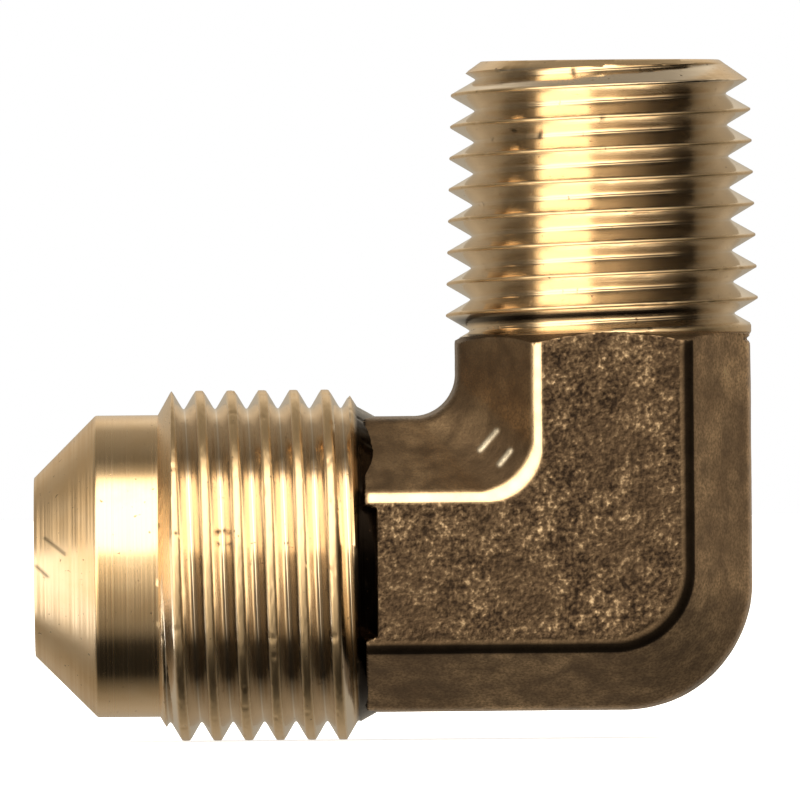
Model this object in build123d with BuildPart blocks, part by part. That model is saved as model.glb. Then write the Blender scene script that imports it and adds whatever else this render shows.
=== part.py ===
"""A 90 degree brass elbow: a 45 degree flare end for tube on one leg, tapered pipe thread on the other.

The fitting is one forging, turned, threaded and drilled on both legs. Millimetres. The origin is
where the two bores cross. The flare leg points along -X, the pipe leg along +Z, and the forging's
parting plane is Y = 0.
"""

from build123d import *
import math
import os

# Threads: both are 18 to the inch with 60 degree flanks.
pitch = 25.4 / 18
half_flank = 30

# Both threads are cut as separate ring grooves at the true pitch, depth and flank angle. The real ones
# wind right-handed.

# Flare end, along -X. The thread is 5/8-18 UNF.
flare_reach = 25.6  # from the bore crossing to the nose face
nose_face_radius = 4.0
nose_radius = 6.785
nose_length = 2.8  # smooth cylinder behind the 45 degree seat
lead_in_length = 0.62  # steep chamfer where the thread starts
flare_major_radius = 7.875
flare_root_radius = 7.035
flare_root_flat = 0.16
collar_end_x = -11.55  # last full crest
collar_foot_x = -11.06  # foot of the steep end chamfer
collar_foot_radius = 7.1
collar_toe_x = -10.2  # where the turned surface meets the forging
collar_toe_radius = 6.62
flare_first_groove_x = -18.5
flare_groove_count = 5

# Pipe end, along +Z. The thread is 1/4-18 NPT, tapered 1 in 16 on the diameter.
pipe_reach = 22.55  # from the bore crossing to the end face
taper = 1 / 32  # of radius for length
pipe_end_radius = 6.68  # crest radius at the end face
pipe_thread_depth = 0.78 * pitch
pipe_root_flat = 0.06
pipe_chamfer_face_radius = 5.35
pipe_chamfer_slope = 0.75  # length along the axis for 1 of radius
pipe_first_groove_z = 10.8
pipe_groove_count = 8
pipe_shoulder_z = 10.1  # turning stops here
pipe_shoulder_foot_z = 9.9

# Turning also trims the forging's corners, up to a sloping shoulder. Each is (along, radius) from
# where the trim starts.
flare_trim = (0.5, 1.5)
pipe_trim = (0.75, 1.5)
trim_overrun = 1  # past the forging's leg ends

# Bores, drilled from both ends with a 118 degree point.
bore_radius = 7.14 / 2
drill_half_angle = 59

# Forging. Each outline is an L: half-widths are from the leg's axis to its inner and outer side.
wall_half_width = 6.65  # at the parting plane
wall_half_height = 2.6  # of the side wall, each side of the parting plane
wall_draft = 2.5  # degrees
panel_half_depth = 6.72
panel_inner = 2.75  # panel edge on the inner side of the bend, before its fillet
panel_outer = 3.95
corner_radii = {"wall": (1.9, 5.75), "panel": (2.6, 4.0)}  # inner, outer
panel_inner_fillet = 1.15
panel_outer_fillet = 1.15
wall_fillet = 0.7
flare_leg_end_x = -10.9
pipe_leg_end_z = 10.9
position_tolerance = 0.01  # for picking edges by where they are


def elbow_outline(depth, inner, outer, inner_radius, outer_radius):
    """An L with a rounded inner and outer corner, on the plane Y = -depth."""
    plane = Plane(origin=(0, -depth, 0), x_dir=(1, 0, 0), z_dir=(0, -1, 0))
    with BuildSketch(plane) as outline:
        with BuildLine():
            Line((flare_leg_end_x, inner), (-inner - inner_radius, inner))
            RadiusArc((-inner - inner_radius, inner), (-inner, inner + inner_radius), -inner_radius)
            Polyline(
                (-inner, inner + inner_radius),
                (-inner, pipe_leg_end_z),
                (outer, pipe_leg_end_z),
                (outer, -outer + outer_radius),
            )
            RadiusArc((outer, -outer + outer_radius), (outer - outer_radius, -outer), outer_radius)
            Polyline(
                (outer - outer_radius, -outer),
                (flare_leg_end_x, -outer),
                (flare_leg_end_x, inner),
            )
        make_face()
    return outline.sketch


def edges_along_elbow(edges, depth):
    """The edges at Y = -depth that run along the elbow, without the ones across its two leg ends."""
    ring = edges.filter_by_position(Axis.Y, -depth - position_tolerance, -depth + position_tolerance)
    return ring.filter_by(
        lambda e: (e @ 0.5).X > flare_leg_end_x + position_tolerance
        and (e @ 0.5).Z < pipe_leg_end_z - position_tolerance
    )


def thread_line(start, end, grooves, crest_radius, depth, root_flat):
    """Points (along, radius) of a thread's outline from start to end, with a V at each groove."""
    root_half = root_flat / 2
    top_half = root_half + depth * math.tan(math.radians(half_flank))
    points = [(start, crest_radius(start))]
    for centre in grooves:
        root = crest_radius(centre) - depth
        points += [
            (centre - top_half, crest_radius(centre - top_half)),
            (centre - root_half, root),
            (centre + root_half, root),
            (centre + top_half, crest_radius(centre + top_half)),
        ]
    return points + [(end, crest_radius(end))]


# The forging, with its two corners, bevels and front and back panels.
wall_edge = wall_half_width - wall_half_height * math.tan(math.radians(wall_draft))
wall_foot = elbow_outline(0, wall_half_width, wall_half_width, *corner_radii["wall"])
wall_top = elbow_outline(wall_half_height, wall_edge, wall_edge, *corner_radii["wall"])
panel = elbow_outline(panel_half_depth, panel_inner, panel_outer, *corner_radii["panel"])
with BuildPart() as forging:
    loft([wall_foot, wall_top], ruled=True)
    loft([wall_top, panel], ruled=True)
    panel_edges = edges_along_elbow(forging.edges(), panel_half_depth)
    inner_edges = panel_edges.filter_by(
        lambda e: (e @ 0.5).Z - (e @ 0.5).X > 2 * panel_inner - position_tolerance
    )
    fillet(inner_edges, panel_inner_fillet)
    panel_edges = edges_along_elbow(forging.edges(), panel_half_depth)
    outer_edges = panel_edges.filter_by(lambda e: (e @ 0.5).Z - (e @ 0.5).X < 0)
    fillet(outer_edges, panel_outer_fillet)
    fillet(edges_along_elbow(forging.edges(), wall_half_height), wall_fillet)
    mirror(about=Plane.XZ)

# Flare end: seat, nose, lead-in chamfer, thread and collar, turned about the X axis.
nose_start_x = -flare_reach + nose_radius - nose_face_radius
lead_in_x = nose_start_x + nose_length
flare_grooves = [flare_first_groove_x + pitch * turn for turn in range(flare_groove_count)]
with BuildPart() as flare_end:
    with BuildSketch(Plane.XZ):
        with BuildLine():
            Polyline(
                (-flare_reach, 0),
                (-flare_reach, nose_face_radius),
                (nose_start_x, nose_radius),
                (lead_in_x, nose_radius),
                *thread_line(
                    lead_in_x + lead_in_length,
                    collar_end_x,
                    flare_grooves,
                    lambda x: flare_major_radius,
                    flare_major_radius - flare_root_radius,
                    flare_root_flat,
                ),
                (collar_foot_x, collar_foot_radius),
                (collar_toe_x, collar_toe_radius),
                (collar_toe_x, 0),
                close=True,
            )
        make_face()
    revolve(axis=Axis.X)


# Pipe end: tapered thread with a chamfered end face, turned about the Z axis.
def pipe_crest_radius(z):
    return pipe_end_radius + (pipe_reach - z) * taper


chamfer_foot_z = pipe_reach - (pipe_end_radius - pipe_chamfer_face_radius) * pipe_chamfer_slope
shoulder_radius = pipe_crest_radius(pipe_shoulder_z)
pipe_grooves = [pipe_first_groove_z + pitch * turn for turn in range(pipe_groove_count)]
with BuildPart() as pipe_end:
    with BuildSketch(Plane.XZ):
        with BuildLine():
            Polyline(
                (0, pipe_shoulder_foot_z),
                (shoulder_radius, pipe_shoulder_foot_z),
                *[
                    (radius, z)
                    for z, radius in thread_line(
                        pipe_shoulder_z,
                        chamfer_foot_z,
                        pipe_grooves,
                        pipe_crest_radius,
                        pipe_thread_depth,
                        pipe_root_flat,
                    )
                ],
                (pipe_chamfer_face_radius, pipe_reach),
                (0, pipe_reach),
                close=True,
            )
        make_face()
    revolve(axis=Axis.Z)

with BuildPart() as elbow_body:
    add(forging.part)
    with BuildSketch(Plane.XZ):
        with BuildLine():
            Polyline(
                (shoulder_radius, pipe_leg_end_z + trim_overrun),
                (shoulder_radius, pipe_shoulder_z),
                (shoulder_radius + pipe_trim[1], pipe_shoulder_z - pipe_trim[0]),
                (shoulder_radius + pipe_trim[1], pipe_leg_end_z + trim_overrun),
                close=True,
            )
        make_face()
    revolve(axis=Axis.Z, mode=Mode.SUBTRACT)
    with BuildSketch(Plane.XZ):
        with BuildLine():
            Polyline(
                (flare_leg_end_x - trim_overrun, collar_toe_radius),
                (collar_toe_x, collar_toe_radius),
                (collar_toe_x + flare_trim[0], collar_toe_radius + flare_trim[1]),
                (flare_leg_end_x - trim_overrun, collar_toe_radius + flare_trim[1]),
                close=True,
            )
        make_face()
    revolve(axis=Axis.X, mode=Mode.SUBTRACT)
    add(flare_end.part)
    add(pipe_end.part)
    # The two drilled bores meet at the bend, each with its drill point past the other's axis.
    point_length = bore_radius / math.tan(math.radians(drill_half_angle))
    for mouth, inward, reach in (
        ((-flare_reach, 0, 0), (1, 0, 0), flare_reach),
        ((0, 0, pipe_reach), (0, 0, -1), pipe_reach),
    ):
        with BuildSketch(Plane(origin=mouth, z_dir=inward)):
            Circle(bore_radius)
        extrude(amount=reach, mode=Mode.SUBTRACT)
        with Locations(Plane(origin=Vector(mouth) + Vector(inward) * reach, z_dir=inward)):
            base_at_origin = (Align.CENTER, Align.CENTER, Align.MIN)
            Cone(bore_radius, 0, point_length, align=base_at_origin, mode=Mode.SUBTRACT)

elbow_body.part.label = "elbow_body"
os.makedirs("parts", exist_ok=True)
export_step(elbow_body.part, "parts/elbow_body.step")
print(elbow_body.part.bounding_box())
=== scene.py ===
"""Looks of a brass flare elbow: the forging, its turned flare end and its turned pipe-thread end.

Three pieces stand for the one CAD solid. They overlap inside the metal, where nothing shows, so
that each keeps a mesh that follows its own thread or bend. Lengths here are in millimetres, in the
CAD frame (flare leg along -X, pipe leg along +Z), and become metres when a mesh is made.
"""

import math

import bpy
import numpy as np
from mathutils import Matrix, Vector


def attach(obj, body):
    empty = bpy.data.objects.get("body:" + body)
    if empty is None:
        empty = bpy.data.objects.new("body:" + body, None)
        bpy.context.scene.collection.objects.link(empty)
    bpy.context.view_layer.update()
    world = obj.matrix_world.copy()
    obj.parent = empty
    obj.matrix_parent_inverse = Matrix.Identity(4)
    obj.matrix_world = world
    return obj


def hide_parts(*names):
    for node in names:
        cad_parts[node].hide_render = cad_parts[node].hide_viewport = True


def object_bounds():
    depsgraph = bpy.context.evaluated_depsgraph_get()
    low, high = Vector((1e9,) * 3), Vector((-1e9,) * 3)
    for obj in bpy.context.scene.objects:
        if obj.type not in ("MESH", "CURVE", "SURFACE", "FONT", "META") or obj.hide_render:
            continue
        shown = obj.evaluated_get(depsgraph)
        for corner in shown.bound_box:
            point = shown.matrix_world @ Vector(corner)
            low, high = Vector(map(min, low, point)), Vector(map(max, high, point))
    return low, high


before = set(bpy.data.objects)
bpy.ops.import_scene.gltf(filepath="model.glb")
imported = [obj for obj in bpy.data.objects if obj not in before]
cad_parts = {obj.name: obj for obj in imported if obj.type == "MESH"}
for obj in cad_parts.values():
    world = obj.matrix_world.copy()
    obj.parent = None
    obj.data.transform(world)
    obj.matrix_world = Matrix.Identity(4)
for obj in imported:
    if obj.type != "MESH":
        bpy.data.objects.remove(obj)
cad_low, cad_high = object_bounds()

MM = 0.001
TAU = 2 * math.pi
PITCH = 25.4 / 18
FLANK = 1 / math.tan(math.radians(30))  # radius gained along a flank, for each mm along the axis
BORE = 3.57
COLUMNS = 360  # vertices round a turned end
ROOT_ROUND = 0.035  # how softly a thread's root turns into its flanks

# Flare end, along -X
NOSE_FACE_X, NOSE_FACE_R = -25.6, 4.0
NOSE_X, NOSE_R = -22.815, 6.785
LEAD_IN_X, THREAD_X = -20.015, -19.4
FLARE_CREST, FLARE_ROOT = 7.875, 7.035
COLLAR_END_X, COLLAR_FOOT_X, COLLAR_FOOT_R = -11.55, -11.06, 7.1
TOE_X, TOE_R = -10.2, 6.62  # where the turned neck meets the forging
FLARE_GROOVE_X = -17.44  # a groove's centre, at the top of the leg
FLARE_ROOT_HALF, FLARE_CREST_ROUND = 0.045, 0.07

# Pipe end, along +Z
PIPE_END_Z, PIPE_CREST, TAPER = 22.55, 6.68, 1 / 32
PIPE_DEPTH = 0.78 * PITCH
PIPE_CHAMFER_R, PIPE_CHAMFER_Z = 5.35, 21.6
PIPE_LAST_GROOVE = 10.44  # the last full groove's centre, on the -X side
PIPE_ROOT_HALF, PIPE_CREST_ROUND = 0.03, 0.03
PIPE_CREST_Z = 10.95  # the taper's crests start here
SHOULDER_Z, SHOULDER_R = 10.3, 6.7
RUN_OUT_STEP = 0.56  # for each turn that it runs out, the groove also bends this far towards the thread

# Forging
WALL, WALL_EDGE, WALL_TOP = 6.65, 6.54, 2.6
PANEL = 6.72
PANEL_INNER, PANEL_OUTER = 3.1, 3.77
EDGE_ROUND = 1.0
INNER_RADII, OUTER_RADII = (1.9, 2.3), (5.75, 3.5)  # at the wall, at the panel
LEG_END = 10.9
DRILL_POINT = BORE / math.tan(math.radians(59))  # length of a 118 degree point


# ---- small helpers -------------------------------------------------------------------------

def smooth_step(low, high, value):
    t = np.clip((value - low) / (high - low), 0, 1)
    return t * t * (3 - 2 * t)


def soft_min(a, b, softness):
    return 0.5 * (a + b - np.sqrt((a - b) ** 2 + softness * softness))


def lattice(ix, iy, iz, seed):
    """A repeatable random value from -1 to 1 for each whole-number point."""
    h = (ix * 374761393 + iy * 668265263 + iz * 2147483647 + seed * 1274126177) & 0xFFFFFFFF
    h = ((h ^ (h >> 13)) * 1274126177) & 0xFFFFFFFF
    return ((h ^ (h >> 16)) & 0xFFFFFF) / 0x7FFFFF - 1


def noise(x, y, z, size, seed):
    """Smooth noise from -1 to 1 whose bumps are about `size` apart."""
    cells, blends = [], []
    for v in (x, y, z):
        v = np.asarray(v, float) / size
        whole = np.floor(v)
        part = v - whole
        cells.append(whole.astype(np.int64))
        blends.append(part * part * part * (part * (part * 6 - 15) + 10))
    total = 0
    for corner in range(8):
        bits = (corner & 1, corner >> 1 & 1, corner >> 2 & 1)
        weight = 1
        for bit, blend in zip(bits, blends):
            weight = weight * (blend if bit else 1 - blend)
        total = total + weight * lattice(*(c + b for c, b in zip(cells, bits)), seed)
    return total


def make_object(name, vertices, faces, sharp_degrees=32):
    """A closed mesh in metres from millimetre vertices, facing outwards, shaded smooth."""
    mesh = bpy.data.meshes.new(name)
    mesh.from_pydata((vertices * MM).tolist(), [], faces)
    mesh.validate()
    mesh.shade_smooth()
    mesh.set_sharp_from_angle(angle=math.radians(sharp_degrees))
    piece = bpy.data.objects.new(name, mesh)
    bpy.context.scene.collection.objects.link(piece)
    return piece


def add_values(piece, **layers):
    """Stores one number for each vertex under each name, for the materials to read."""
    for name, values in layers.items():
        layer = piece.data.attributes.new(name, "FLOAT", "POINT")
        layer.data.foreach_set("value", np.ascontiguousarray(values, np.float32))


# ---- turned ends ---------------------------------------------------------------------------

def groove_radius(along, angle, first, root, root_half, fade=None):
    """Radius of a right-hand V groove wound along the axis, before the blank cuts off its crests."""
    lead = first + PITCH * angle / TAU
    nearest = np.round((along - lead) / PITCH)
    radius = np.full(np.broadcast(along, angle).shape, np.inf)
    for turn in (nearest - 1, nearest, nearest + 1):
        off = along - lead - turn * PITCH
        floor = root(along)
        if fade is not None:
            turns = turn + angle / TAU
            off = off - RUN_OUT_STEP * np.clip(0.5 - turns, 0, 0.6)
            floor = floor + fade(turns)
        past_root = np.abs(off) - root_half
        flank = (past_root + np.sqrt(past_root**2 + ROOT_ROUND**2)) / 2 * FLANK
        radius = np.minimum(radius, floor + flank)
    return radius


def flare_blank(x):
    """Radius of the flare end before its thread is cut."""
    outline = [
        (NOSE_FACE_X, NOSE_FACE_R),
        (NOSE_X, NOSE_R),
        (LEAD_IN_X, NOSE_R),
        (THREAD_X, FLARE_CREST),
        (COLLAR_END_X, FLARE_CREST),
        (COLLAR_FOOT_X, COLLAR_FOOT_R),
        (TOE_X, TOE_R),
        (TOE_X + 0.4, TOE_R - 0.3),
    ]
    return np.interp(x, *zip(*outline))


def flare_radius(x, angle):
    groove = groove_radius(x, angle, FLARE_GROOVE_X, lambda along: FLARE_ROOT, FLARE_ROOT_HALF)
    return soft_min(groove, flare_blank(x), FLARE_CREST_ROUND)


def pipe_crest(z):
    return PIPE_CREST + (PIPE_END_Z - z) * TAPER


def pipe_blank(z):
    """Radius of the pipe end before its thread is cut."""
    outline = [
        (SHOULDER_Z - 0.4, SHOULDER_R - 0.4),
        (SHOULDER_Z, SHOULDER_R),
        (PIPE_CREST_Z - 0.33, SHOULDER_R),
        (PIPE_CREST_Z, pipe_crest(PIPE_CREST_Z)),
        (PIPE_CHAMFER_Z, pipe_crest(PIPE_CHAMFER_Z)),
        (PIPE_END_Z, PIPE_CHAMFER_R),
    ]
    return np.interp(z, *zip(*outline))


def pipe_fade(turns):
    """How far the groove's root has risen, by turns along it; PIPE_LAST_GROOVE is at half a turn."""
    gone = np.maximum(0.5 - turns, 0) * 2  # in half turns
    return 0.34 * np.minimum(gone, 1) + 4.5 * np.maximum(gone - 1, 0)


def pipe_groove(z, angle):
    first = PIPE_LAST_GROOVE - PITCH / 2  # where the groove crosses angle 0
    return groove_radius(
        z, angle, first, lambda along: pipe_crest(along) - PIPE_DEPTH, PIPE_ROOT_HALF, pipe_fade
    )


def pipe_radius(z, angle):
    return soft_min(pipe_groove(z, angle), pipe_blank(z), PIPE_CREST_ROUND)


def crest_wear(radius, blank, along, angle, seed):
    """Burrs and nicks on the crests, and the faint unevenness of cut metal."""
    crest = smooth_step(0.14, 0.02, blank - radius)
    run = angle * blank
    flat = 0 * run
    across = along * 3
    burr = noise(run, across, flat, 0.22, seed) * 0.012 + noise(run, across, flat, 0.9, seed + 1) * 0.010
    nick = smooth_step(0.6, 0.9, noise(run, along, flat, 0.45, seed + 2)) * 0.03
    flank = noise(run, along * 6, flat, 0.8, seed + 3) * 0.003
    return np.minimum(radius + crest * (burr - nick) + flank, blank - 0.006)


def pitch_samples():
    """Places across one pitch, from a groove's centre to the next, closer at root and crest."""
    half = np.array([0, 0.04, 0.08, 0.12, 0.18, 0.29, 0.43, 0.54, 0.60, 0.65, 0.68]) / PITCH
    return np.concatenate([half, [0.5], 1 - half[:0:-1]])


def turned_mesh(rings_before, zone, rings_after, radius_at, first):
    """Vertices as (along, radius, angle) and faces of one closed turned end.

    The threaded zone is a strip wound along the helix, so that its edges run along the thread.
    Rings before and after it are (along, radius) pairs, and the last of each meet in the bore.
    """
    low, high = zone
    samples = pitch_samples()
    turn_low = math.floor((low - first) / PITCH) - 1
    turns = math.ceil((high - low) / PITCH) + 3
    t = np.arange(turns * COLUMNS + 1)
    along = first + PITCH * (turn_low + t[:, None] / COLUMNS + samples[None, :])
    angle = np.broadcast_to((t * TAU / COLUMNS)[:, None], along.shape)
    column = np.broadcast_to((t % COLUMNS)[:, None], along.shape)
    tiny = 0.004
    under, over = along <= low + tiny, along >= high - tiny
    free = ~(under | over)

    # what lies past either end of the zone collapses onto that end's ring
    ids = np.zeros(along.shape, np.int64)
    ids[free] = 2 * COLUMNS + np.arange(free.sum())
    ids[under] = column[under]
    ids[over] = COLUMNS + column[over]
    ring_angles = np.arange(COLUMNS) * TAU / COLUMNS
    places = [
        np.column_stack([np.full(COLUMNS, end), radius_at(np.full(COLUMNS, end), ring_angles), ring_angles])
        for end in (low, high)
    ]
    angles = angle[free] % TAU
    places.append(np.column_stack([along[free], radius_at(along[free], angles), angles]))

    last = np.full((len(t), 1), -1, np.int64)  # the sample after a turn's last is the next turn's first
    last[:-COLUMNS, 0] = ids[COLUMNS:, 0]
    last[-COLUMNS:, 0] = COLUMNS + column[-COLUMNS:, 0]
    wide = np.concatenate([ids, last], axis=1)
    a, b, c, d = wide[:-1, :-1], wide[1:, :-1], wide[1:, 1:], wide[:-1, 1:]
    quads = np.stack([a, b, c, d], axis=-1).reshape(-1, 4)
    faces = []
    for quad in quads[(quads != quads[:, :1]).any(axis=1)]:
        corners = list(dict.fromkeys(quad.tolist()))
        on_low_ring = max(corners) < COLUMNS
        on_high_ring = min(corners) >= COLUMNS and max(corners) < 2 * COLUMNS
        if len(corners) >= 3 and not on_low_ring and not on_high_ring:
            faces.append(corners[::-1])  # turned to match the rings' faces

    def join(ring, other):
        """Quads between two rings, each given by its first id."""
        for j in range(COLUMNS):
            k = (j + 1) % COLUMNS
            faces.append([ring + j, ring + k, other + k, other + j])

    total = 2 * COLUMNS + int(free.sum())
    ends = []
    for rings, last_ring, after in ((rings_before, 0, False), (rings_after, COLUMNS, True)):
        for place, radius in rings:
            places.append(np.column_stack([np.full((COLUMNS, 2), (place, radius)), ring_angles]))
            join(*((total, last_ring) if after else (last_ring, total)))
            last_ring = total
            total += COLUMNS
        ends.append(last_ring)
    join(*ends)
    return np.concatenate(places), faces


def place_flare(points):
    """Angle 0 is the top and grows towards the front."""
    x, r, a = points.T
    return np.column_stack([x, -r * np.sin(a), r * np.cos(a)])


def place_pipe(points):
    z, r, a = points.T
    return np.column_stack([r * np.cos(a), r * np.sin(a), z])


def spots(vertices, places, size):
    """1 at each (x, z) place on the front, falling to 0 at about `size` from it."""
    flat = vertices[:, None, [0, 2]] - np.array(places)[None]
    return np.exp(-((flat**2).sum(axis=2).min(axis=1) / size**2)) * (vertices[:, 1] < 0)


def line_mark(points, start, end, width):
    """1 on the short line from start to end in X and Z, falling to 0 at `width` from it."""
    start, end = np.array(start), np.array(end)
    flat = points[:, [0, 2]]
    run = end - start
    t = np.clip((flat - start) @ run / (run @ run), 0, 1)
    return np.exp(-(np.linalg.norm(flat - start - t[:, None] * run, axis=1) / width) ** 2)


def outward(vertices, faces):
    """The faces, turned round if they enclose a negative volume."""
    triangles = np.array([[f[0], f[i], f[i + 1]] for f in faces for i in range(1, len(f) - 1)])
    a, b, c = (vertices[triangles[:, i]] for i in range(3))
    if np.einsum("ij,ij->i", a, np.cross(b, c)).sum() < 0:
        return [f[::-1] for f in faces]
    return faces


def straight_rings(start, end, count):
    """Rings on the line between two (along, radius) points, without the first."""
    return [
        (start[0] + (end[0] - start[0]) * i / count, start[1] + (end[1] - start[1]) * i / count)
        for i in range(1, count + 1)
    ]


def flare_end():
    """Seat, nose, thread, collar and neck, with the bore's lining."""
    edge = 0.05  # small round on the turned corners
    rings_before = (
        straight_rings((LEAD_IN_X - 0.02, NOSE_R), (NOSE_X + edge, NOSE_R), 24)
        + [(NOSE_X, NOSE_R - 0.015), (NOSE_X - edge, NOSE_R - edge)]
        + straight_rings((NOSE_X - edge, NOSE_R - edge), (NOSE_FACE_X + edge, NOSE_FACE_R + edge), 28)
        + [(NOSE_FACE_X + 0.01, NOSE_FACE_R + 0.01), (NOSE_FACE_X, NOSE_FACE_R - 0.04)]
        + [(NOSE_FACE_X, BORE + 0.14), (NOSE_FACE_X + 0.02, BORE + 0.1), (NOSE_FACE_X + 0.12, BORE)]
        + straight_rings((NOSE_FACE_X + 0.12, BORE), (-LEG_END, BORE), 30)
    )
    rings_after = straight_rings((TOE_X, TOE_R), (TOE_X + 0.4, TOE_R - 0.3), 2) + [
        (TOE_X + 0.4, 5.0), (TOE_X + 0.4, BORE + 0.06), (-LEG_END + 0.1, BORE + 0.06),
    ]
    points, faces = turned_mesh(
        rings_before, (LEAD_IN_X, TOE_X), rings_after, flare_radius, FLARE_GROOVE_X
    )
    outer = points[:, 1] > NOSE_R - 0.3
    threaded = outer & (points[:, 0] > LEAD_IN_X) & (points[:, 0] < TOE_X)
    points[threaded, 1] = crest_wear(
        points[threaded, 1], flare_blank(points[threaded, 0]), points[threaded, 0], points[threaded, 2], 11
    )
    vertices = place_flare(points)
    piece = make_object("elbow_flare_end", vertices, outward(vertices, faces), 50)
    x = vertices[:, 0]
    turned = points[:, 1] > BORE + 0.3
    threaded = smooth_step(-20.1, -19.9, x) * smooth_step(-11.2, -11.45, x) * turned
    # 1 where the thread hasn't cut the blank; the lead-in's own surface is coloured more like the nose
    blank_left = smooth_step(0.16, 0.08, flare_blank(x) - points[:, 1])
    threaded = threaded * (1 - 0.6 * blank_left * smooth_step(-19.35, -19.45, x))
    seat = smooth_step(NOSE_X + 0.02, NOSE_X - 0.1, x) * turned
    crest = blank_left * threaded
    scratches = line_mark(vertices, (-25.1, 1.32), (-24.2, 0.6), 0.07)
    scratches += line_mark(vertices, (-25.5, 0.07), (-25.0, -0.4), 0.07)
    pits = spots(vertices, [(-17.3, 1.55), (-17.03, 1.58), (-17.3, 1.0), (-19.2, 1.5)], 0.09)
    # painted shade: the neck behind the collar, from x = -11.3 on, is painted near black all round; the pits
    # and the scratches on the nose's front are real dark marks
    dark = np.maximum(smooth_step(-11.3, -11.05, x), pits + 0.75 * scratches * (vertices[:, 1] < 0))
    add_values(piece, threaded=threaded, seat=seat, crest=crest, dark=dark * turned)
    return piece


def pipe_end():
    """Tapered thread, chamfer and end face, with the bore's lining."""
    end_round = 0.05
    rings_before = [
        (SHOULDER_Z - 0.4, 5.0), (SHOULDER_Z - 0.4, BORE + 0.06), (LEG_END - 0.1, BORE + 0.06),
    ]
    rings_after = (
        [(PIPE_END_Z, PIPE_CHAMFER_R - end_round), (PIPE_END_Z, 4.6), (PIPE_END_Z, BORE + 0.2)]
        + [(PIPE_END_Z - 0.04, BORE + 0.12), (PIPE_END_Z - 0.2, BORE)]
        + straight_rings((PIPE_END_Z - 0.2, BORE), (LEG_END, BORE), 30)
    )
    points, faces = turned_mesh(
        rings_before,
        (SHOULDER_Z - 0.38, PIPE_END_Z - 0.01),
        rings_after,
        pipe_radius,
        PIPE_LAST_GROOVE - PITCH / 2,
    )
    threaded = (points[:, 1] > 5.6) & (points[:, 0] > SHOULDER_Z) & (points[:, 0] < PIPE_END_Z - 0.05)
    points[threaded, 1] = crest_wear(
        points[threaded, 1], pipe_blank(points[threaded, 0]), points[threaded, 0], points[threaded, 2], 23
    )
    vertices = place_pipe(points)
    piece = make_object("elbow_pipe_end", vertices, outward(vertices, faces), 50)
    z = vertices[:, 2]
    turned = points[:, 1] > BORE + 0.3
    # painted shadow under the crest: the last groove, on the flank above it, round the front only, fading
    # towards the right
    turns = (z - PIPE_LAST_GROOVE) / PITCH - ((points[:, 2] - math.pi) % TAU) / TAU
    painted_groove_shadow = smooth_step(0.08, 0.2, turns) * smooth_step(0.42, 0.34, turns) * (vertices[:, 1] < 0)
    painted_groove_shadow = painted_groove_shadow * smooth_step(5.2, 3.0, vertices[:, 0]) * smooth_step(11.9, 11.5, z)
    blank_left = smooth_step(0.12, 0.04, pipe_blank(z) - points[:, 1])
    crest = blank_left * smooth_step(21.6, 21.3, z)
    threaded = 1 - blank_left * smooth_step(21.5, 21.7, z)
    pits = spots(vertices, [(-1.24, 22.1), (0.04, 19.9), (-2.76, 19.1), (-3.9, 19.4)], 0.10)
    dark = np.maximum(painted_groove_shadow, pits)
    add_values(piece, threaded=threaded * turned, seat=0 * z, crest=crest * turned, dark=dark * turned)
    return piece


# ---- forging -------------------------------------------------------------------------------

def inner_level(a, b, radius):
    """Which L-shaped line round the inside of the bend a point is on; a and b are its two heights."""
    gap = np.minimum(np.abs(a - b), radius)
    near = (a + b + np.sqrt(2 * radius**2 - gap**2)) / 2 - radius
    return np.where(np.abs(a - b) < radius, near, np.minimum(a, b))


def outer_level(a, b, radius):
    """The same round the outside of the bend."""
    gap = np.minimum(np.abs(a - b), radius)
    near = (a + b - np.sqrt(2 * radius**2 - gap**2)) / 2 + radius
    return np.where(np.abs(a - b) < radius, near, np.maximum(a, b))


def section_distance(level, depth, panel_edge):
    """Distance outside the forging's cross-section: wall, bevel and panel, with rounded edges."""
    corners = np.array([(WALL, 0.0), (WALL_EDGE, WALL_TOP), (panel_edge, PANEL), (-40.0, PANEL)])
    runs = corners[1:] - corners[:-1]
    normals = np.column_stack([runs[:, 1], -runs[:, 0]]) / np.linalg.norm(runs, axis=1)[:, None]
    offsets = np.einsum("ij,ij->i", normals, corners[:-1]) - EDGE_ROUND
    inside = np.max([level * n[0] + depth * n[1] - o for n, o in zip(normals, offsets)], axis=0)
    # the two shrunken corners, where neighbouring planes meet
    points = [np.linalg.solve(normals[i:i + 2], offsets[i:i + 2]) for i in (0, 1)]
    ends = [(points[0] - runs[0] * 9, points[0]), (points[0], points[1]), (points[1], points[1] + runs[2])]
    far = np.full(level.shape, np.inf)
    for start, end in ends:
        run = end - start
        t = np.clip(((level - start[0]) * run[0] + (depth - start[1]) * run[1]) / (run @ run), 0, 1)
        far = np.minimum(far, np.hypot(level - start[0] - t * run[0], depth - start[1] - t * run[1]))
    return np.where(inside <= 0, inside, far) - EDGE_ROUND


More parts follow.
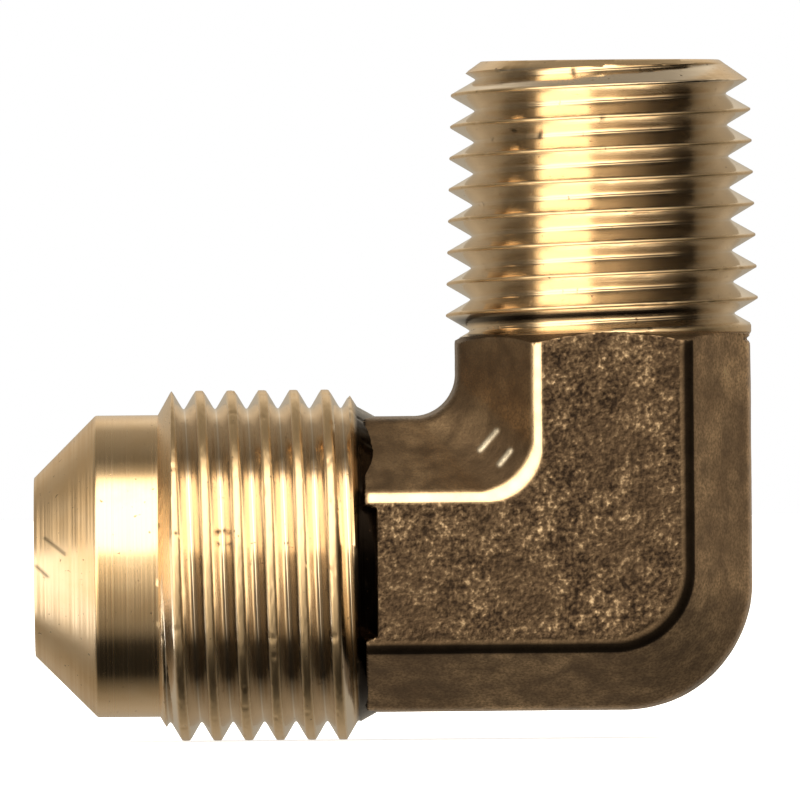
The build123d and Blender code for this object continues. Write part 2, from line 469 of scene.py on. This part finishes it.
def forging_distance(x, y, z):
    """Signed distance, roughly, from the forging with its turned shoulders and its two bores.

    The factors under 1 keep sloping cuts from growing faster than distance does.
    """
    depth = np.abs(y)
    rise = np.clip((depth - WALL_TOP) / (PANEL - WALL_TOP), 0, 1)
    inner_radius = INNER_RADII[0] + (INNER_RADII[1] - INNER_RADII[0]) * rise
    outer_radius = OUTER_RADII[0] + (OUTER_RADII[1] - OUTER_RADII[0]) * rise
    body = np.maximum(
        section_distance(inner_level(z, -x, inner_radius), depth, PANEL_INNER),
        section_distance(outer_level(-z, x, outer_radius), depth, PANEL_OUTER),
    )
    body = np.maximum(body, np.maximum(-LEG_END - x, z - LEG_END))

    # the turned neck behind the collar stops in a step, further in on the panels than elsewhere
    flare_r = np.hypot(y, z)
    stop = TOE_X - 0.02 - 0.5 * (smooth_step(2.5, 2.75, z) + smooth_step(-3.2, -3.45, z))
    neck = COLLAR_FOOT_R + (TOE_R - COLLAR_FOOT_R) * (x - COLLAR_FOOT_X) / (TOE_X - COLLAR_FOOT_X)
    body = np.maximum(body, np.minimum(stop - x, (flare_r - neck + 0.08) * 0.85))

    pipe_r = np.hypot(x, y)
    angle = np.arctan2(y, x) % TAU
    shoulder = (z - SHOULDER_Z + 0.3 * (pipe_r - SHOULDER_R)) * 0.96
    body = np.maximum(body, np.minimum(shoulder, pipe_r - (SHOULDER_R - 0.06)))
    near_thread = z > 9.2
    cut = pipe_r[near_thread] - pipe_groove(z[near_thread], angle[near_thread]) + 0.03
    body[near_thread] = np.maximum(body[near_thread], cut * 0.5)

    slope = DRILL_POINT / BORE
    flare_bore = np.maximum(flare_r - BORE, (x + (flare_r - BORE) * slope) * 0.85)
    pipe_bore = np.maximum(pipe_r - BORE, (-z + (pipe_r - BORE) * slope) * 0.85)
    return np.maximum(body, -np.minimum(flare_bore, pipe_bore))


def field_slope(field, points, step=0.01):
    x, y, z = points.T
    slope = np.column_stack([
        field(x + step, y, z) - field(x - step, y, z),
        field(x, y + step, z) - field(x, y - step, z),
        field(x, y, z + step) - field(x, y, z - step),
    ])
    return slope / (2 * step)


def surface_of(field, low, high, step):
    """Vertices and quads where the field is zero, one vertex in each grid cell that it crosses."""
    axes = [np.arange(a, b, step) for a, b in zip(low, high)]
    grid = field(*np.meshgrid(*axes, indexing="ij"))
    inside = grid < 0
    shape = tuple(n - 1 for n in grid.shape)
    corner = [(i, j, k) for i in (0, 1) for j in (0, 1) for k in (0, 1)]

    def at(array, c):
        return array[tuple(slice(o, o + n) for o, n in zip(c, shape))]

    held = sum(at(inside, c).astype(np.int8) for c in corner)
    active = (held > 0) & (held < 8)
    values = {c: at(grid, c)[active] for c in corner}
    base = np.argwhere(active).astype(float)
    total, crossings = np.zeros_like(base), np.zeros(len(base))
    for c in corner:
        for axis in range(3):
            if c[axis]:
                continue
            other = tuple(1 if n == axis else v for n, v in enumerate(c))
            crossed = (values[c] < 0) != (values[other] < 0)
            share = values[c][crossed] / (values[c][crossed] - values[other][crossed])
            place = np.tile(np.array(c, float), (crossed.sum(), 1))
            place[:, axis] += share
            total[crossed] += place
            crossings[crossed] += 1
    vertices = (base + total / crossings[:, None]) * step + np.array(low)

    ids = np.full(shape, -1, np.int64)
    ids[active] = np.arange(len(base))
    quads = []
    for axis in range(3):
        u, v = (axis + 1) % 3, (axis + 2) % 3
        start = [slice(1, n) for n in shape]
        start[axis] = slice(0, shape[axis])
        ahead = list(start)
        ahead[axis] = slice(1, shape[axis] + 1)
        here, there = inside[tuple(start)], inside[tuple(ahead)]
        for crossed, order in ((here & ~there, 1), (~here & there, -1)):
            index = np.argwhere(crossed)
            index += [0 if n == axis else 1 for n in range(3)]
            around = []
            for du, dv in ((-1, -1), (0, -1), (0, 0), (-1, 0)):
                cell = index.copy()
                cell[:, u] += du
                cell[:, v] += dv
                around.append(ids[cell[:, 0], cell[:, 1], cell[:, 2]])
            quads.append(np.stack(around[::order], axis=1))
    for _ in range(3):
        slope = field_slope(field, vertices)
        error = field(*vertices.T)
        move = error / np.maximum((slope**2).sum(axis=1), 0.2)
        vertices = vertices - slope * np.clip(move, -step / 2, step / 2)[:, None]
    return vertices, np.concatenate(quads)


def forging():
    """The forged elbow, its values for the material, and the grain and unevenness of its skin."""
    step = 0.105
    low, high = (-LEG_END - 0.3, -PANEL - 0.3, -WALL - 0.3), (WALL + 0.3, PANEL + 0.3, LEG_END + 0.3)
    vertices, quads = surface_of(forging_distance, low, high, step)
    normal = field_slope(forging_distance, vertices)
    normal /= np.linalg.norm(normal, axis=1)[:, None]
    x, y, z = vertices.T
    facing = np.abs(normal[:, 1])
    in_flare_bore = (np.hypot(y, z) < BORE + 0.1) & (x < 3)
    in_pipe_bore = (np.hypot(x, y) < BORE + 0.1) & (z > -3)
    outside = ~(in_flare_bore | in_pipe_bore)
    flat = smooth_step(0.965, 0.995, facing) * (np.abs(y) > 5) * outside
    skin = (facing < 0.965) * outside

    # the panels keep the grain of the die; the bevels are smoother, with a slow unevenness
    grain = 0.6 * noise(x, y, z, 0.22, 3) + 0.4 * noise(x, y, z, 0.36, 4) + 0.4 * noise(x, y, z, 1.4, 5)
    unevenness = 0.010 * noise(x, y, z, 1.9, 6) + 0.003 * noise(x, y, z, 0.4, 7)
    lift = 0.016 * grain * flat + unevenness * skin
    scuffs = 0
    for start, end in (((-5.55, 5.1), (-4.8, 5.95)), ((-4.68, 4.45), (-4.2, 5.05))):
        scuffs = scuffs + line_mark(vertices, start, end, 0.09) * (y < 0) * skin
    lift += 0.02 * scuffs
    vertices = vertices + normal * lift[:, None]
    piece = make_object("elbow_forging", vertices, quads.tolist(), 40)

    # the rounded edges of the panels get a painted highlight on the inner side and painted shade on the
    # outer
    by_panel = np.abs(y) > 4.5
    inner_line, outer_line = np.minimum(z, -x) - PANEL_INNER, np.maximum(-z, x) - PANEL_OUTER
    outer_side = outer_line > inner_line
    burnish = smooth_step(0.77, 0.86, facing) * smooth_step(0.996, 0.982, facing) * outside * by_panel
    burnish = burnish * (0.85 + 0.15 * noise(x, y, z, 0.5, 12)) * (1 - outer_side)
    burnish = burnish * smooth_step(TOE_X - 0.45, TOE_X - 0.3, x)
    burnish = burnish * np.where(inner_line < -0.6, smooth_step(TOE_X, TOE_X + 0.15, x), 1)
    crease = smooth_step(0.97, 0.92, facing) * smooth_step(0.58, 0.65, facing) * outer_side * by_panel
    # painted shade also on the step wall facing -X by the toe of the neck
    step_wall = smooth_step(-0.5, -0.8, normal[:, 0]) * smooth_step(TOE_X + 0.3, TOE_X + 0.1, x)
    crease = np.maximum(crease, step_wall)
    # painted light and shade by facing: the bevels are painted paler on the outside of the bend, and darker
    # inside it and on its corner
    right, left = np.maximum(normal[:, 0], 0), np.maximum(-normal[:, 0], 0)
    above, below = np.maximum(normal[:, 2], 0), np.maximum(-normal[:, 2], 0)
    wear = 1 + 1.4 * right + 0.6 * below - 2.6 * right * below - 0.2 * left - 0.3 * above
    add_values(piece, burnish=burnish, grain=flat, crease=crease * outside, bored=1.0 - outside)
    add_values(piece, wear=wear, scuff=np.minimum(1.3 * scuffs, 1))
    return piece


# ---- materials -----------------------------------------------------------------------------

class Nodes:
    """Short calls for building a node tree."""

    def __init__(self, tree):
        self.tree = tree
        tree.nodes.clear()

    def add(self, kind, inputs=(), **settings):
        node = self.tree.nodes.new(kind)
        for key, value in settings.items():
            setattr(node, key, value)
        for key, value in dict(inputs).items():
            socket = node.inputs[key]
            if isinstance(value, bpy.types.NodeSocket):
                self.tree.links.new(value, socket)
            else:
                socket.default_value = value
        return node

    def math(self, operation, *values):
        return self.add("ShaderNodeMath", dict(enumerate(values)), operation=operation).outputs[0]

    def attribute(self, name):
        return self.add("ShaderNodeAttribute", attribute_name=name).outputs["Fac"]

    def noise(self, place, scale, detail):
        inputs = {"Vector": place, "Scale": scale, "Detail": detail}
        return self.add("ShaderNodeTexNoise", inputs).outputs["Fac"]

    def ramp(self, factor, stops):
        node = self.add("ShaderNodeValToRGB", {"Fac": factor})
        stripe = node.color_ramp
        while len(stripe.elements) < len(stops):
            stripe.elements.new(0.5)
        for element, (place, level) in zip(stripe.elements, stops):
            element.position = place
            element.color = (*level, 1) if np.ndim(level) else (level, level, level, 1)
        return node.outputs["Color"]

    def map_range(self, value, low, high, to_low, to_high):
        node = self.add(
            "ShaderNodeMapRange",
            {"Value": value, "From Min": low, "From Max": high, "To Min": to_low, "To Max": to_high},
        )
        return node.outputs["Result"]

    def mix_color(self, factor, a, b):
        node = self.add("ShaderNodeMix", data_type="RGBA")
        for socket, value in zip((node.inputs[0], node.inputs[6], node.inputs[7]), (factor, a, b)):
            if isinstance(value, bpy.types.NodeSocket):
                self.tree.links.new(value, socket)
            else:
                socket.default_value = value if np.ndim(value) == 0 else (*value, 1)
        return node.outputs[2]


def new_material(name):
    material = bpy.data.materials.new(name)
    material.use_nodes = True
    return material, Nodes(material.node_tree)


# Colours, as linear red, green and blue
BRASS = (0.88, 0.66, 0.41)
BRASS_DEEP = (0.82, 0.58, 0.32)
CREST_BRASS = (0.86, 0.62, 0.34)
# paler in the threads, because light meets a groove's flanks about three times
FLARE_THREAD = (0.81, 0.69, 0.54)
PIPE_THREAD = (0.88, 0.76, 0.60)
# near black: real pits and scratches, and painted shade in the pipe's last groove and on the flare's neck
PITS_AND_PAINTED_SHADE = (0.022, 0.016, 0.012)
PIT = (0.16, 0.10, 0.06)
FORGED = (0.56, 0.39, 0.23)
SCUFF = (1.0, 0.9, 0.72)
CREASE_SHADE = (0.02, 0.015, 0.012)
# near black, for painted shade on the panels' outer edges and the neck's step wall
FORGED_DARK = (0.27, 0.18, 0.105)
FORGED_SPECK = (0.13, 0.088, 0.055)
PANEL_PIT = (0.025, 0.017, 0.012)
PANEL_DARK = (0.075, 0.05, 0.031)
PANEL_MID = (0.14, 0.096, 0.058)
PANEL_SPECK = (0.36, 0.26, 0.16)
PANEL_SHINE = (0.62, 0.48, 0.31)


def machined_brass(name, axis, in_thread):
    """Bright brass with the fine rings that a lathe leaves round the given axis (0 for X, 2 for Z).

    Its colour is in_thread where a mesh's `threaded` value is 1.
    """
    material, n = new_material(name)
    place = n.add("ShaderNodeTexCoord").outputs["Object"]
    parts = n.add("ShaderNodeSeparateXYZ", {0: place}).outputs
    along = parts[axis]
    others = [parts[i] for i in range(3) if i != axis]
    radius = n.math("SQRT", n.math("ADD", *(n.math("POWER", side, 2.0) for side in others)))
    ring_place = n.add("ShaderNodeCombineXYZ", {0: along, 1: radius}).outputs[0]
    rings = n.noise(ring_place, 9000.0, 3.0)
    broad = n.noise(ring_place, 2200.0, 2.0)
    pits = n.noise(place, 4200.0, 2.0)
    stain = n.noise(place, 420.0, 4.0)

    threaded, seat, crest, dark = (n.attribute(name) for name in ("threaded", "seat", "crest", "dark"))
    color = n.mix_color(n.map_range(stain, 0.42, 0.68, 0.0, 1.0), BRASS, BRASS_DEEP)
    color = n.mix_color(threaded, color, in_thread)
    color = n.mix_color(n.math("MULTIPLY", crest, 0.8), color, CREST_BRASS)
    # the dark values are painted shade on the neck and in the last groove, as well as real pits and
    # scratches
    color = n.mix_color(dark, color, PITS_AND_PAINTED_SHADE)
    speck = n.map_range(pits, 0.70, 0.76, 0.0, 0.75)
    color = n.mix_color(speck, color, PIT)
    roughness = n.map_range(rings, 0.3, 0.7, 0.16, 0.30)
    roughness = n.math("MULTIPLY", roughness, n.math("MULTIPLY_ADD", threaded, -0.45, 1.0))
    roughness = n.math("MULTIPLY", roughness, n.math("MULTIPLY_ADD", seat, 0.7, 1.0))
    roughness = n.math("MULTIPLY_ADD", crest, 0.24, roughness)
    height = n.math("ADD", n.math("MULTIPLY", rings, 0.6), broad)
    height = n.math("SUBTRACT", height, n.math("MULTIPLY", speck, 1.5))
    bump = n.add("ShaderNodeBump", {"Strength": 0.35, "Distance": 0.000012, "Height": height}).outputs[0]
    tangent = n.add("ShaderNodeTangent", direction_type="RADIAL", axis="XYZ"[axis]).outputs[0]
    shader = n.add("ShaderNodeBsdfPrincipled", {
        "Base Color": color, "Metallic": 1.0, "Roughness": roughness,
        "Anisotropic": 0.75, "Anisotropic Rotation": 0.25, "Tangent": tangent, "Normal": bump,
    })
    n.add("ShaderNodeOutputMaterial", {0: shader.outputs[0]})
    return material


def forged_brass(name):
    """Dull brown forging skin, grainy on the panels, with a painted highlight along their inner edges and
    painted shade along their outer ones.
    """
    material, n = new_material(name)
    place = n.add("ShaderNodeTexCoord").outputs["Object"]
    burnish = n.attribute("burnish")
    grain = n.attribute("grain")
    bored = n.attribute("bored")
    # the bores are bare turned brass; along the panels' inner edges the same bright brass is a painted
    # highlight
    bored_and_painted_highlight = n.math("MAXIMUM", burnish, bored)
    fine = n.noise(place, 8000.0, 3.0)
    coarse = n.noise(place, 4300.0, 4.0)
    cloud = n.noise(place, 300.0, 4.0)
    blotch = n.noise(place, 1100.0, 3.0)

    crease = n.attribute("crease")
    skin = n.mix_color(n.map_range(cloud, 0.35, 0.65, 0.0, 1.0), FORGED, FORGED_DARK)
    skin = n.mix_color(n.map_range(fine, 0.38, 0.64, 0.0, 0.6), skin, FORGED_SPECK)
    skin = n.mix_color(n.map_range(blotch, 0.36, 0.68, 0.0, 0.7), skin, FORGED_SPECK)
    # painted light and shade: the skin's colour is scaled by which way each face points
    wear = n.attribute("wear")
    skin = n.add("ShaderNodeVectorMath", {0: skin, "Scale": wear}, operation="SCALE").outputs[0]
    grit = n.math("MULTIPLY_ADD", blotch, 0.45, n.math("MULTIPLY", coarse, 0.75))
    stops = zip((0.47, 0.58, 0.68, 0.76, 0.84), (PANEL_PIT, PANEL_DARK, PANEL_MID, PANEL_SPECK, PANEL_SHINE))
    panel = n.ramp(grit, list(stops))
    panel = n.mix_color(n.map_range(cloud, 0.42, 0.62, 0.0, 0.5), panel, PANEL_DARK)
    skin = n.mix_color(grain, skin, panel)
    # painted shade along the panels' outer edges and on the neck's step wall
    skin = n.mix_color(n.math("MULTIPLY", crease, 0.9), skin, CREASE_SHADE)
    scuff = n.attribute("scuff")
    skin = n.mix_color(scuff, skin, SCUFF)
    color = n.mix_color(bored_and_painted_highlight, skin, BRASS)
    dull = n.map_range(fine, 0.3, 0.7, 0.34, 0.5)
    roughness = n.add("ShaderNodeMix", {0: bored_and_painted_highlight, 2: dull, 3: 0.2}).outputs[0]
    height = n.math("ADD", n.math("MULTIPLY", fine, 0.6), coarse)
    strength = n.math("MULTIPLY_ADD", grain, 0.5, 0.18)
    strength = n.math("MULTIPLY", strength, n.math("MULTIPLY_ADD", bored_and_painted_highlight, -0.8, 1.0))
    bump = n.add("ShaderNodeBump", {"Strength": strength, "Distance": 0.00005, "Height": height}).outputs[0]
    shader = n.add("ShaderNodeBsdfPrincipled", {
        "Base Color": color, "Metallic": 1.0, "Roughness": roughness, "Normal": bump,
    })
    n.add("ShaderNodeOutputMaterial", {0: shader.outputs[0]})
    return material


def floor_material():
    material, n = new_material("pale_floor")
    shader = n.add("ShaderNodeBsdfPrincipled", {
        "Base Color": (0.93, 0.93, 0.93, 1), "Roughness": 0.9,
        "Emission Color": (1, 1, 1, 1), "Emission Strength": 0.72,
    })
    n.add("ShaderNodeOutputMaterial", {0: shader.outputs[0]})
    return material


# ---- studio --------------------------------------------------------------------------------

# Brightness of the studio by the angle from the front, towards each side: (degrees, level).
UP = [
    (0, 0.75), (9, 1.1), (14, 3.4), (66, 3.4), (76, 0.5), (88, 0.16), (104, 0.24), (128, 0.36),
    (145, 0.85), (180, 0.5),
]
DOWN = [
    (0, 0.68), (4, 0.42), (9, 0.28), (20, 0.22), (45, 0.18), (54, 0.09), (60, 0.018), (92, 0.012),
    (102, 0.12), (118, 0.28), (140, 0.42), (180, 0.4),
]
LEFT = [
    (0, 0.75), (8, 1.2), (14, 3.2), (54, 3.2), (64, 0.28), (74, 0.09), (96, 0.14), (112, 0.32),
    (140, 0.48), (180, 0.42),
]
RIGHT = [
    (0, 0.72), (10, 0.48), (24, 0.26), (40, 0.12), (50, 0.035), (58, 0.012), (90, 0.012),
    (98, 0.14), (112, 0.26), (135, 0.42), (180, 0.4),
]
BRIGHTEST = 3.4
WARM = (1.0, 0.89, 0.72, 1.0)
FLOOR_GAP = 0.00003


def studio_world():
    """A soft key above and to the left, dark flags below and to the right, a pale room behind.

    The camera itself sees plain white.
    """
    world = bpy.data.worlds.new("studio")
    bpy.context.scene.world = world
    world.use_nodes = True
    n = Nodes(world.node_tree)
    way = n.add("ShaderNodeTexCoord").outputs["Generated"]
    x, y, z = n.add("ShaderNodeSeparateXYZ", {0: way}).outputs
    from_front = n.math("DIVIDE", n.math("ARCCOSINE", n.math("MULTIPLY", y, -1.0)), math.pi)
    total = None
    spread = n.math("ADD", n.math("ADD", n.math("POWER", x, 2.0), n.math("POWER", z, 2.0)), 1e-6)
    for value, sign, stops in ((z, 1.0, UP), (z, -1.0, DOWN), (x, -1.0, LEFT), (x, 1.0, RIGHT)):
        part = n.math("MAXIMUM", n.math("MULTIPLY", value, sign), 0.0)
        weight = n.math("DIVIDE", n.math("POWER", part, 2.0), spread)
        level = n.ramp(from_front, [(degrees / 180, level / BRIGHTEST) for degrees, level in stops])
        share = n.math("MULTIPLY", level, weight)
        total = share if total is None else n.math("ADD", total, share)
    seen = n.add("ShaderNodeLightPath").outputs["Is Camera Ray"]
    room = n.add("ShaderNodeBackground", {"Color": WARM, "Strength": n.math("MULTIPLY", total, BRIGHTEST)})
    paper = n.add("ShaderNodeBackground", {"Color": (1, 1, 1, 1), "Strength": 1.0})
    both = n.add("ShaderNodeMixShader", {0: seen, 1: room.outputs[0], 2: paper.outputs[0]})
    n.add("ShaderNodeOutputWorld", {0: both.outputs[0]})


def floor():
    """A plain pale floor just under the lowest crest, which the metal doesn't mirror."""
    half, z = 3.0, cad_low.z - FLOOR_GAP
    corners = [(-half, -half, z), (half, -half, z), (half, half, z), (-half, half, z)]
    mesh = bpy.data.meshes.new("floor")
    mesh.from_pydata(corners, [], [(0, 1, 2, 3)])
    piece = bpy.data.objects.new("floor", mesh)
    bpy.context.scene.collection.objects.link(piece)
    mesh.materials.append(floor_material())
    piece.visible_glossy = False
    piece.visible_shadow = False


def lamp(name, place, turn, size, watts, on_metal):
    """A rectangular lamp, out of the camera's sight, that shines along its own -Z."""
    data = bpy.data.lights.new(name, "AREA")
    data.shape, data.size, data.size_y, data.energy = "RECTANGLE", size[0], size[1], watts
    piece = bpy.data.objects.new(name, data)
    piece.location = place
    piece.rotation_euler = [math.radians(angle) for angle in turn]
    piece.visible_glossy = on_metal
    piece.visible_camera = False
    bpy.context.scene.collection.objects.link(piece)
    return piece


def camera():
    """Square on to the front, with a long lens, as wide as 36 mm at the fitting."""
    distance, width = 1.6, 0.03596
    data = bpy.data.cameras.new("camera")
    data.sensor_width = 36
    data.lens = data.sensor_width * distance / width
    data.clip_start, data.clip_end = 0.01, 20
    piece = bpy.data.objects.new("camera", data)
    piece.location = (-0.00912, -distance, 0.00737)
    piece.rotation_euler = (math.radians(90), math.radians(0.5), 0)
    bpy.context.scene.collection.objects.link(piece)
    bpy.context.scene.camera = piece


# ---- the scene -----------------------------------------------------------------------------

camera()
studio_world()
floor()
lamp("overhead", (0, 0, 1.2), (0, 0, 0), (1.6, 1.6), 16.0, False)
seat_card = lamp("seat_card", (-0.080, 0.004, -0.012), (0, -90, 0), (0.040, 0.034), 0.0098, True)
bpy.context.scene.view_settings.view_transform = "Standard"

pieces = (
    (flare_end(), machined_brass("turned_brass_flare", 0, FLARE_THREAD)),
    (pipe_end(), machined_brass("turned_brass_pipe", 2, PIPE_THREAD)),
    (forging(), forged_brass("forged_brass")),
)
for piece, material in pieces:
    piece.data.materials.append(material)
    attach(piece, "root")
    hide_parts("elbow_body")

# only the flare end meets the low card, as if a flag shaded the rest from it
lit = bpy.data.collections.new("lit_by_seat_card")
lit.objects.link(pieces[0][0])
seat_card.light_linking.receiver_collection = lit
